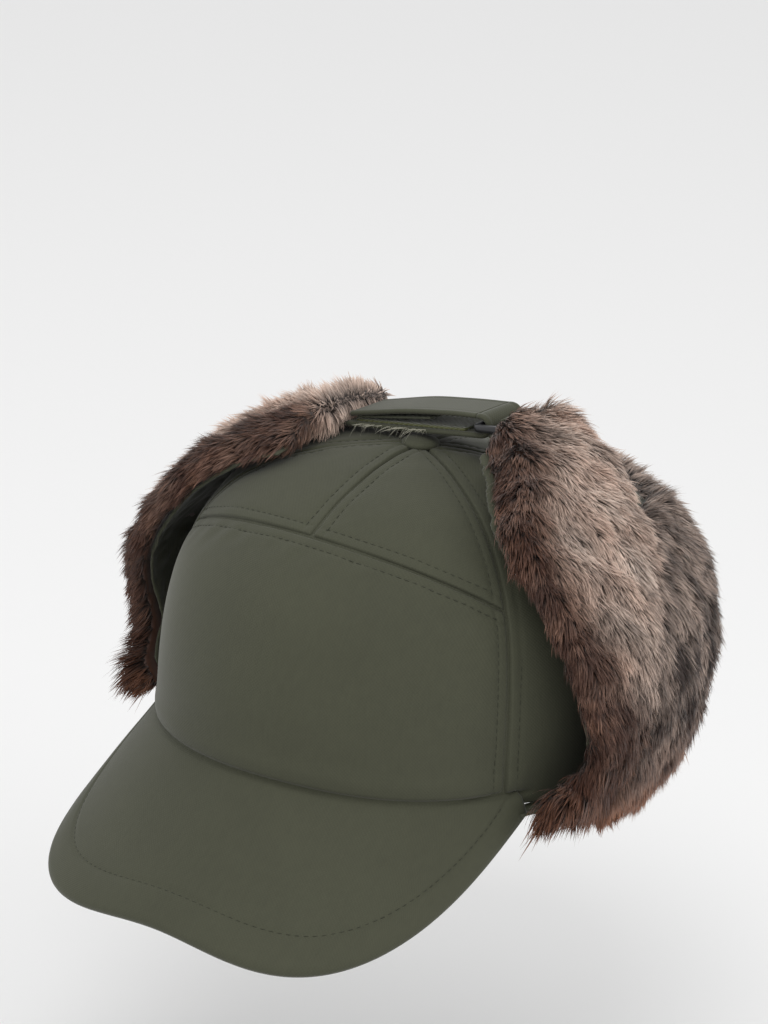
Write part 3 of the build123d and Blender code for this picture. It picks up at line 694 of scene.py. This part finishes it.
def visor_piece(name, node, upper):
    """Half of the visor's skin: its top or its underside with its half of the rounded edge."""
    columns = 210
    g, n = visor_surface(60, columns, 1.2)
    out = np.gradient(g[-1], axis=0)
    out = np.cross(out, n[-1])
    out /= np.linalg.norm(out, axis=1)[:, None]
    out *= np.sign(-out[columns // 2, 1])
    u, v = lengths(g, 1), lengths(g, 0)
    edge = v[-1:] - v
    lift = 0.5 * bell(edge - 6.5, 5.5) - 0.45 * bell(edge - VISOR_STITCH, 0.9) - 1.2 * bell(v, 1.6)
    lift += 0.12 * ripples(g.reshape(-1, 3), 40.0, 21).reshape(v.shape)
    lift -= 0.1 * pucker(u, edge - VISOR_STITCH, 1.3)
    sign = 1 if upper else -1
    mid = g - n * VISOR_HALF_THICK
    turn = np.linspace(0, PI / 2, 7)[1:, None, None]

    def with_edge(skin, radius):
        """The skin and, past its rim, a quarter round of that radius about the visor's middle."""
        rolled = mid[-1][None] + (n[-1][None] * sign * np.cos(turn) + out[None] * np.sin(turn)) * radius
        return np.concatenate([skin, rolled])

    raised = (VISOR_HALF_THICK + lift * (1 if upper else 0.5))[..., None]
    outer = with_edge(mid + n * sign * raised, VISOR_HALF_THICK)
    inner = with_edge(mid + n * sign * VISOR_LINING_AT, VISOR_LINING_AT)
    across = lengths(outer, 1)
    middle = columns // 2
    uv = np.stack([across - across[:, middle:middle + 1], lengths(outer, 0)], -1)
    dress(slab(name, outer, inner, uv), "olive", "crown", node)
    if upper:
        i, j = np.abs(edge - VISOR_STITCH).argmin(0), np.arange(columns)
        keep = v[i, j] > 4
        stitch_row(eased((outer[i, j] + n[i, j] * 0.1)[keep], 20), n[i, j][keep])


def visor_stiffener():
    """The visor's board: the visor's middle surface, 2.2 mm thick and drawn in from the edge."""
    g, n = visor_surface(40, 120, 4.5)
    obj = slab("visor_board_sheet", g - n * 1.3, g - n * 3.5, np.stack([lengths(g, 1), lengths(g, 0)], -1))
    return dress(obj, "board", "crown", "visor_board")


visor_stiffener()
visor_piece("visor_top_cloth", "visor_top_cover", True)
visor_piece("visor_under_cloth", "visor_under_cover", False)
sew("visor_topstitch", "thread", "crown")

# ---------------------------------------------------------------- flaps
# height and y of the ear flaps' front edge
FRONT_EDGE = np.array([
    (9.0, -40.5), (19, -31), (39, -36), (75, -45), (104, -43), (124, -24), (137, -10), (150, -6),
])


def behind_front(p):
    """How far points lie behind the flap's front edge at their height."""
    return p[:, 1] - np.interp(p[:, 2], FRONT_EDGE[:, 0], FRONT_EDGE[:, 1])


def from_axis(p):
    """Unit vectors that point level away from the cap's upright axis."""
    flat = p * (1, 1, 0)
    return flat / np.linalg.norm(flat, axis=1)[:, None]


def upturned(p):
    """A lean upward that grows over the flaps' folded tops."""
    return np.array([0, 0, 0.5]) * np.clip((p[:, 2:] - 70) / 60, 0, 1)


def near_hem(p, height):
    """1 at the hem and below, falling off as a bell over that height."""
    return bell(np.clip(p[:, 2], 0, None), height)


def streaks(p, seed):
    """Streaks that run down the fur: quick change round the cap, slow change in height, about -1 to 1."""
    return ripples(p * (1.0, 1.0, 0.22), 11.0, seed, 12)


def ear_colours(p, side):
    """Shade and warmth of an ear flap's hairs by place: pale above, dark along the front edge and low down,
    rusty along the hem."""
    z, y = p[:, 2], p[:, 1]
    high = 1 / (1 + np.exp(-(z - 70) / 10.0))
    shade = 0.25 + 0.68 * high
    shade += 0.42 * np.exp(-(((z - 48) / 16) ** 2) - ((y + 8) / 11) ** 2)
    edge = bell(behind_front(p), 11.0 + 12.0 * bell(z - 32, 26))
    shade *= 1 - 0.93 * edge
    mottle = 0.24 * streaks(p, 31 + side) + 0.15 * ripples(p, 22.0, 41 + side)
    shade += mottle * (1 - 0.6 * edge)
    warm = 0.18 + 0.85 * np.exp(-np.clip(z, 0, None) / 12.0) + 0.6 * edge + 0.12 * ripples(p, 30.0, 51)
    shade += 0.3 * bell(z, 9.0)
    return shade, warm


def rear_colours(p, seed):
    """Shade and warmth of the greyer rear fur, rusty along the hem."""
    z = p[:, 2]
    shade = 0.15 + 0.26 / (1 + np.exp(-(z - 62) / 10.0))
    shade += 0.18 * streaks(p, seed) + 0.12 * ripples(p, 24.0, seed + 9)
    warm = 0.12 + 0.9 * np.exp(-np.clip(z, 0, None) / 14.0)
    shade += 0.3 * bell(z, 9.0)
    return shade, warm


def pad(name, node, inset, seed, colours, drop=0.0, reach=0.0):
    """The backing under a fur: a soft lumpy copy of the frame piece, drawn in by inset, sagging by drop at
    the hem and rolled forward by reach at the front corner."""
    obj = soft_copy(name, node, 2.6, 5)
    co, no = coords(obj)
    outer = np.clip(0.6 + (no * (from_axis(co) + upturned(co))).sum(1), 0, 1)
    co = co - no * (outer * (inset + 0.9 * ripples(co, 14.0, seed)))[:, None]
    co[:, 2] -= drop * near_hem(co, 14.0)
    corner = near_hem(co, 15.0) * bell(np.clip(behind_front(co), 0, None), 14.0)
    co += corner[:, None] * np.array([0, -reach, 0.45 * reach])
    put(obj, co)
    shade, warm = colours(co)
    shade, warm, along = np.clip(shade * 0.4, 0, 1), np.clip(warm, 0, 1), np.full(len(co), 0.45)
    for key, values in (("shade", shade), ("warm", warm), ("along", along)):
        point_values(obj.data, key, values)
    dress(obj, "fur", None, node)
    return obj


BLADE_STEPS = (0.0, 0.34, 0.68, 1.0)


def blade_points(middles, side, widths):
    """Seven points for each blade: two at each of three steps, width apart along side, and its tip."""
    points = [mid + sign * side * wide for mid, wide in zip(middles, widths) for sign in (-1, 1)]
    return np.stack(points + [middles[-1]], 1).reshape(-1, 3)


def blade_faces(count):
    """Five triangles for each blade."""
    one = np.array([(0, 1, 3), (0, 3, 2), (2, 3, 5), (2, 5, 4), (4, 5, 6)])
    return (one[None] + 7 * np.arange(count)[:, None, None]).reshape(-1, 3)


def grow(name, base, body, length, lift, droop, seed, colours, forward=0.0):
    """Fur on a pad.  Hairs root at random places by area; each is a tapered blade bent from the pad's normal
    to its fall, P(s) = root + L (lift n s (1 - 0.45 s) + fall (0.5 s + 0.5 s^2)), and drawn to its lock's
    tip."""
    rng = np.random.default_rng(seed)
    count, width = HAIRS, HAIR_WIDTH
    mesh = base.data
    mesh.calc_loop_triangles()
    tri = np.empty(len(mesh.loop_triangles) * 3, np.int32)
    mesh.loop_triangles.foreach_get("vertices", tri)
    tri = tri.reshape(-1, 3)
    co, no = coords(base)
    a, b, c = co[tri[:, 0]], co[tri[:, 1]], co[tri[:, 2]]
    cross = np.cross(b - a, c - a)
    area = np.linalg.norm(cross, axis=1) / 2
    face = cross / np.maximum(area[:, None] * 2, 1e-9)
    middle = (a + b + c) / 3
    away = from_axis(middle) * 0.85 + upturned(middle)
    facing = (face * away).sum(1)
    tip_end = (np.abs(middle[:, 0]) < 54) & (face[:, 0] * np.sign(middle[:, 0]) < -0.35)
    weight = area * np.where(tip_end, 1.3, np.clip((facing + 0.5) * 4, 0, 1)) * (middle[:, 2] >= -20)
    pick = rng.choice(len(tri), count, p=weight / weight.sum())
    r1, r2 = np.sqrt(rng.random(count)), rng.random(count)
    w = np.stack([1 - r1, r1 * (1 - r2), r1 * r2], 1)[..., None]
    root = (np.stack([a[pick], b[pick], c[pick]], 1) * w).sum(1)
    n = (np.stack([no[tri[pick, k]] for k in range(3)], 1) * w).sum(1)
    n /= np.linalg.norm(n, axis=1)[:, None]
    down = np.array([0, 0, -1.0]) + n * n[:, 2:]
    down += 0.16 * np.stack([ripples(root, 26.0, seed + 1), ripples(root, 26.0, seed + 2), 0 * root[:, 0]], 1)
    side_on = 1 - np.abs((n * away[pick]).sum(1))[:, None]
    down = down * (1 - 0.65 * side_on) + away[pick] * 0.55 * side_on
    near_corner = bell(root[:, 2], 20.0) * bell(np.clip(behind_front(root), 0, None), 12.0)
    down[:, 1] -= forward * near_corner
    down /= np.maximum(np.linalg.norm(down, axis=1)[:, None], 0.25)
    size = length * rng.uniform(0.6, 1.15, count) * (1 + 0.55 * forward * near_corner)
    jitter = rng.normal(scale=0.16, size=(count, 3))
    lift_here = lift * (1 + 0.35 * ripples(root, 16.0, seed + 3))

    def shape(s):
        """The hairs' points at a share s of their length."""
        fall = (down * (1 - lift * 0.5) + jitter) * (0.5 * s + 0.5 * s * s)
        path = n * (lift_here * s * (1 - 0.45 * s))[:, None] + fall
        sag = droop * np.exp(-(np.clip(root[:, 2:], 0, None) / 12.0))
        return root + size[:, None] * path - np.array([0, 0, s * s]) * sag

    tip = shape(1.0)
    locks = rng.choice(count, count // HAIRS_IN_A_LOCK, replace=False)
    tree = KDTree(len(locks))
    for k, i in enumerate(locks):
        tree.insert(root[i], k)
    tree.balance()
    lock = np.array([locks[tree.find(r)[1]] for r in root])
    pull = (tip[lock] - root[lock]) + root[lock] * 0.6 + root * 0.4 - tip
    view_side = np.cross(n, tip - root)
    view_side /= np.maximum(np.linalg.norm(view_side, axis=1)[:, None], 1e-6)
    view_side += rng.normal(scale=0.35, size=view_side.shape)
    middles = [shape(s) + pull * (0.42 * s**1.5) for s in BLADE_STEPS]
    shade, warm = colours(root)
    shade_lock = shade[lock] * 0.55 + shade * 0.45
    shade_lock = shade_lock + rng.normal(scale=0.05, size=count) + 0.07 * rng.normal(size=count)[lock]
    obj = make(name, blade_points(middles, view_side * (width / 2), (1.0, 0.95, 0.62)), blade_faces(count),
               shade=np.repeat(np.clip(shade_lock, 0, 1), 7), warm=np.repeat(np.clip(warm, 0, 1), 7),
               along=np.tile(np.repeat(BLADE_STEPS, (2, 2, 2, 1)), count))
    obj.data.materials.append(MAT["fur"])
    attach(obj, body)
    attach(base, body)


for word, side in (("left", 0), ("right", 1)):
    body = f"ear_flap_{word}"
    front = lambda p, s=side: ear_colours(p, s)
    rear = lambda p, s=side: rear_colours(p, 61 + s)
    base = pad(f"ear_fur_backing_{word}", f"ear_flap_fur_{word}", 1.6, 71 + side, front, 1.0, 5.0)
    grow(f"ear_fur_{word}", base, body, 9.6, 0.50, 2.0, 81 + side, front, forward=1.2)
    base = pad(f"ear_rear_fur_backing_{word}", f"ear_flap_rear_fur_{word}", 1.2, 73 + side, rear, 7.0)
    grow(f"ear_rear_fur_{word}", base, body, 9.2, 0.48, 3.5, 83 + side, rear)
neck = lambda p: rear_colours(p, 65)
base = pad("neck_fur_backing", "neck_flap_fur", 1.2, 75, neck, 7.0)
grow("neck_fur", base, "neck_flap", 9.2, 0.48, 3.5, 85, neck)


def flap_cloth(word, node, body, seed):
    """A flap's cloth: a soft copy of the frame piece with wrinkles, full toward its front edge."""
    obj = soft_copy(f"flap_cloth_{word}", node, 1.3, 4)
    co, _ = coords(obj)
    wave = 1.5 * ripples(co * (1, 1, 1.4), 38.0, seed)
    wave += 0.8 * np.abs(ripples(co * (1, 1, 1.5), 16.0, seed + 5))
    co = co - from_axis(co) * (wave * 0.8 - 0.2)[:, None] * np.clip(co[:, 2:] / 15, 0, 1)
    if body != "neck_flap":
        fullness = np.exp(-np.clip(behind_front(co), 0, None) / 5.0) * np.clip((108 - co[:, 2]) / 20, 0, 1)
        co[:, 1] += 3.5 * fullness
    put(obj, co)
    dress(obj, "olive_loose", body, node)


flap_cloth("left", "ear_flap_shell_left", "ear_flap_left", 91)
flap_cloth("right", "ear_flap_shell_right", "ear_flap_right", 92)
flap_cloth("back", "neck_flap_shell", "neck_flap", 93)


HEM_HALF_WIDTH, HEM_HALF_LENGTH = 90.6, 103.7


def hem_strip(name, first, last, pieces):
    """The cloth that joins a flap to the hem.  It runs round the hem from angle first to last, degrees from
    straight ahead, between the ellipses of the hem (w = 0) and of the flap's cloth (w = 1), sagging by
    1.4 sin(pi w), and is made in short lengths."""
    cuts = np.linspace(first, last, pieces + 1)
    w = np.linspace(0, 1, 13)
    a, b = HEM_HALF_WIDTH + 7.6 * w, HEM_HALF_LENGTH + 7.0 * w
    for k in range(pieces):
        t = np.radians(np.linspace(cuts[k], cuts[k + 1], 14))[:, None]
        z = np.broadcast_to(-0.5 - 1.4 * np.sin(PI * w), (14, 13))
        g = np.stack([a * np.sin(t), -b * np.cos(t), z], -1)
        g[..., 2] += 0.25 * ripples(g.reshape(-1, 3), 7.0, 95).reshape(g.shape[:2])
        under = g - (0, 0, 1.1)
        obj = slab(f"{name}_{k + 1}", g, under, np.stack([lengths(g, 1), lengths(g, 0)], -1))
        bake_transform(obj)
        dress(obj, "olive", None)


hem_strip("hem_strip_left", 65.2, 138.5, 5)
hem_strip("hem_strip_right", -138.5, -65.2, 5)
hem_strip("hem_strip_back", 139.5, 220.5, 6)

# ---------------------------------------------------------------- strap, ring and tab
ALONG = np.array([math.cos(STRAP_TILT), 0, math.sin(STRAP_TILT)])
UP = np.array([-math.sin(STRAP_TILT), 0, math.cos(STRAP_TILT)])
ACROSS = np.array([0, 1.0, 0])
HERE = np.array([STRAP_X, STRAP_Y, STRAP_Z])


def band(name, path, width, thick, finish, body, node, wave, seed, across=26):
    """A woven strip swept on a path of (along, up) points in the strap's plane.  Its section is a flat
    stadium, raised a little along both selvages, and its faces are uneven by wave."""
    p = smooth_curve(path, max(16, int(3 * len(path) + 40)))
    t = np.gradient(p, axis=0)
    t /= np.linalg.norm(t, axis=1)[:, None]
    nor = np.stack([-t[:, 1], t[:, 0]], 1)
    half, r = width / 2, thick / 2
    y = np.linspace(-1, 1, across)
    y = np.sign(y) * np.abs(y) ** 0.9 * (half - r)
    turn = np.linspace(-PI / 2, PI / 2, 7)[1:-1]
    side = half - r + r * np.cos(turn)
    ys = np.concatenate([y, side, y[::-1], -side])
    hs = np.concatenate([np.full(across, -r), r * np.sin(turn), np.full(across, r), r * np.sin(turn)[::-1]])
    inboard = np.abs(ys) - half
    ridge = 0.18 * bell(inboard + 1.6, 0.9) - 0.15 * bell(inboard + 3.0, 0.6)
    rows = []
    length = run_of(p)
    for k in range(len(p)):
        h = hs + np.sign(hs) * ridge
        slow = math.sin(length[k] / 9.0 + seed) * np.cos(ys / 9.0 + seed)
        wavy = wave * (slow + 0.5 * math.sin(length[k] / 4.1 + ys[0]))
        flat = p[k][None] + nor[k][None] * (h + wavy * 0.6)[:, None]
        rows.append(HERE + flat[:, :1] * ALONG + flat[:, 1:] * UP + ys[:, None] * ACROSS)
    g = np.array(rows)
    count = len(ys)
    around = lengths(np.concatenate([g, g[:, :1]], 1), 1)[:, :-1]
    uv = np.stack([np.broadcast_to(length[:, None], around.shape), around], -1).reshape(-1, 2)
    verts = np.vstack([g.reshape(-1, 3), g[0].mean(0), g[-1].mean(0)])
    uv = np.vstack([uv, uv[:1], uv[-1:]])
    obj = make(name, verts, grid_faces(len(p), count, closed=True), uv)
    bm = bmesh.new()
    bm.from_mesh(obj.data)
    bmesh.ops.holes_fill(bm, edges=[e for e in bm.edges if e.is_boundary], sides=0)
    bmesh.ops.delete(bm, geom=[v for v in bm.verts if not v.link_faces], context="VERTS")
    bmesh.ops.recalc_face_normals(bm, faces=bm.faces)
    bm.to_mesh(obj.data)
    bm.free()
    return dress(obj, finish, body, node)


low, high = -FOLD_RADIUS - STRAP_THICK / 2, FOLD_RADIUS + STRAP_THICK / 2
fold = [(high * math.sin(t), -high * math.cos(t)) for t in np.linspace(0, PI, 9)]
under = [(x, low) for x in (-STRAP_LENGTH + 0.3, -52, -36, -18, -6)]
path = under + fold + [(HINGE_AT + 0.2, high)]
band("strap_webbing", path, STRAP_WIDTH, STRAP_THICK, "olive", "strap", "strap", 0.12, 1)

tail_start = HINGE_AT - 0.15
tail_end = tail_start - TAIL_LENGTH
slope = TAIL_DROP / TAIL_LENGTH
tail = [(x, high - slope * (tail_start - x) + 1.5 * math.sin(PI * (x - tail_end) / TAIL_LENGTH))
        for x in np.linspace(tail_end, tail_start, 9)]
band("strap_tail_webbing", tail, STRAP_WIDTH, STRAP_THICK, "olive", "strap_tail", "strap_tail", 0.2, 2)

loop = [(x, -2.5) for x in (-STRAP_LENGTH + 4.5, -34.6, -8.5)]
band("loop_tape_pile", loop, TAPE_WIDTH, 1.0, "loop", "strap", "loop_tape", 0.05, 3)
hook = [(tail_end + x, FOLD_RADIUS - slope * (TAIL_LENGTH - x) - 0.5) for x in (2, 20, 38)]
band("hook_tape_pile", hook, TAPE_WIDTH, 0.95, "hook", "strap_tail", "hook_tape", 0.0, 4)


def frayed_threads(name, body, count, seed):
    """Loose threads along the near selvage of the strap: thin blades that leave it forward and curl down,
    P(s) = start + L (out s + down s^2)."""
    rng = np.random.default_rng(seed)
    at = -STRAP_LENGTH + 6 + 34 * rng.random(count) ** 1.4
    start = HERE + at[:, None] * ALONG + (low + 0.6) * UP + np.array([0, -STRAP_WIDTH / 2 + 0.4, 0])
    out = -ACROSS * rng.uniform(0.3, 1.0, (count, 1)) + ALONG * rng.normal(scale=0.7, size=(count, 1))
    fall = np.array([0, -0.2, -1.0]) * rng.uniform(-0.2, 0.8, (count, 1))
    size = rng.uniform(2.5, 7.0, (count, 1))
    middles = [start + size * (out * s + fall * s**2) for s in BLADE_STEPS]
    obj = make(name, blade_points(middles, UP * 0.16, (1.0, 1.0, 0.8)), blade_faces(count))
    return dress(obj, "pale_thread", body)


frayed_threads("strap_frayed_threads", "strap", 60, 9)


def ring_mesh():
    """The ring: a rounded rectangle path of bar centre lines with a rounded square section."""
    half_w, half_d, corner = (STRAP_WIDTH + 1.4 + RING_BAR) / 2, (RING_DEPTH - RING_BAR) / 2, 1.9
    path = []
    for sx, sy, start in ((1, 1, 0), (-1, 1, 90), (-1, -1, 180), (1, -1, 270)):
        for t in np.linspace(0, 90, 7):
            a = math.radians(start + t)
            x, y = sx * (half_d - corner), sy * (half_w - corner)
            path.append((x + corner * math.cos(a), y + corner * math.sin(a), math.cos(a), math.sin(a)))
    path = np.array(path)
    turn = np.linspace(0, 2 * PI, 16, endpoint=False)
    so = np.sign(np.cos(turn)) * np.abs(np.cos(turn)) ** 0.6 * RING_BAR / 2
    su = np.sign(np.sin(turn)) * np.abs(np.sin(turn)) ** 0.6 * RING_BAR / 2
    along = path[:, None, 0] + path[:, None, 2] * so + (RING_DEPTH - RING_BAR) / 2
    side = path[:, None, 1] + path[:, None, 3] * so
    v = HERE + along[..., None] * ALONG + su[None, :, None] * UP + side[..., None] * ACROSS
    rows = np.concatenate([v, v[:1]])
    faces = grid_faces(len(rows), 16, closed=True) % (len(v) * 16)
    obj = make("ring_moulding", v.reshape(-1, 3), faces)
    outward(obj)
    return dress(obj, "ring", "ring", "ring")


ring_mesh()
tab = soft_copy("ring_tab_cloth", "ring_tab", 0.6, 2)
dress(tab, "olive_loose", "ear_flap_left", "ring_tab")
patch = soft_copy("strap_patch_cloth", "strap_patch", 0.6, 2)
dress(patch, "olive_loose", "ear_flap_right", "strap_patch")

# ---------------------------------------------------------------- light, floor, camera
lo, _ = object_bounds()
bpy.ops.mesh.primitive_plane_add(size=12.0, location=(0, 0, lo.z - FLOOR_DROP * MM))
floor = bpy.context.object
floor.name = "floor"
pale = bpy.data.materials.new("floor_paper")
pale.use_nodes = True
pale.node_tree.nodes["Principled BSDF"].inputs["Base Color"].default_value = (0.83, 0.83, 0.83, 1)
pale.node_tree.nodes["Principled BSDF"].inputs["Roughness"].default_value = 0.9
floor.data.materials.append(pale)

world = bpy.data.worlds.new("studio")
bpy.context.scene.world = world
world.use_nodes = True
world.node_tree.nodes["Background"].inputs[0].default_value = (1, 1, 1, 1)
world.node_tree.nodes["Background"].inputs[1].default_value = 0.89


def lamp(name, place, size, power):
    """A round soft light aimed at the cap; place in metres."""
    light = bpy.data.lights.new(name, "AREA")
    light.energy, light.shape, light.size = power, "DISK", size
    obj = bpy.data.objects.new(name, light)
    obj.location = place
    obj.rotation_mode = "QUATERNION"
    obj.rotation_quaternion = (Vector((0, 0, 0.05)) - Vector(place)).to_track_quat("-Z", "Y")
    bpy.context.scene.collection.objects.link(obj)


lamp("key", (0.5, -1.1, 2.0), 1.3, 15)
lamp("fill", (-1.6, -0.9, 0.9), 1.4, 1.5)
lamp("side", (1.8, 0.1, 1.2), 1.2, 7)

camera = bpy.data.cameras.new("camera")
camera.sensor_width, camera.lens = 36.0, 122.8
camera.clip_start, camera.clip_end = 0.05, 30
cam = bpy.data.objects.new("camera", camera)
bpy.context.scene.collection.objects.link(cam)
right = Vector((0.8145, 0.5801, 0.0))
up = Vector((-0.1914, 0.2687, 0.9440))
back = Vector((0.5476, -0.7689, 0.3299))
roll = math.radians(2.74)
cam_x = right * math.cos(roll) + up * math.sin(roll)
cam_y = up * math.cos(roll) - right * math.sin(roll)
turn = Matrix((cam_x, cam_y, back)).transposed()
cam.matrix_world = Matrix.Translation((0.7434, -1.0639, 0.5399)) @ turn.to_4x4()
bpy.context.scene.camera = cam
bpy.context.scene.view_settings.view_transform = "Standard"
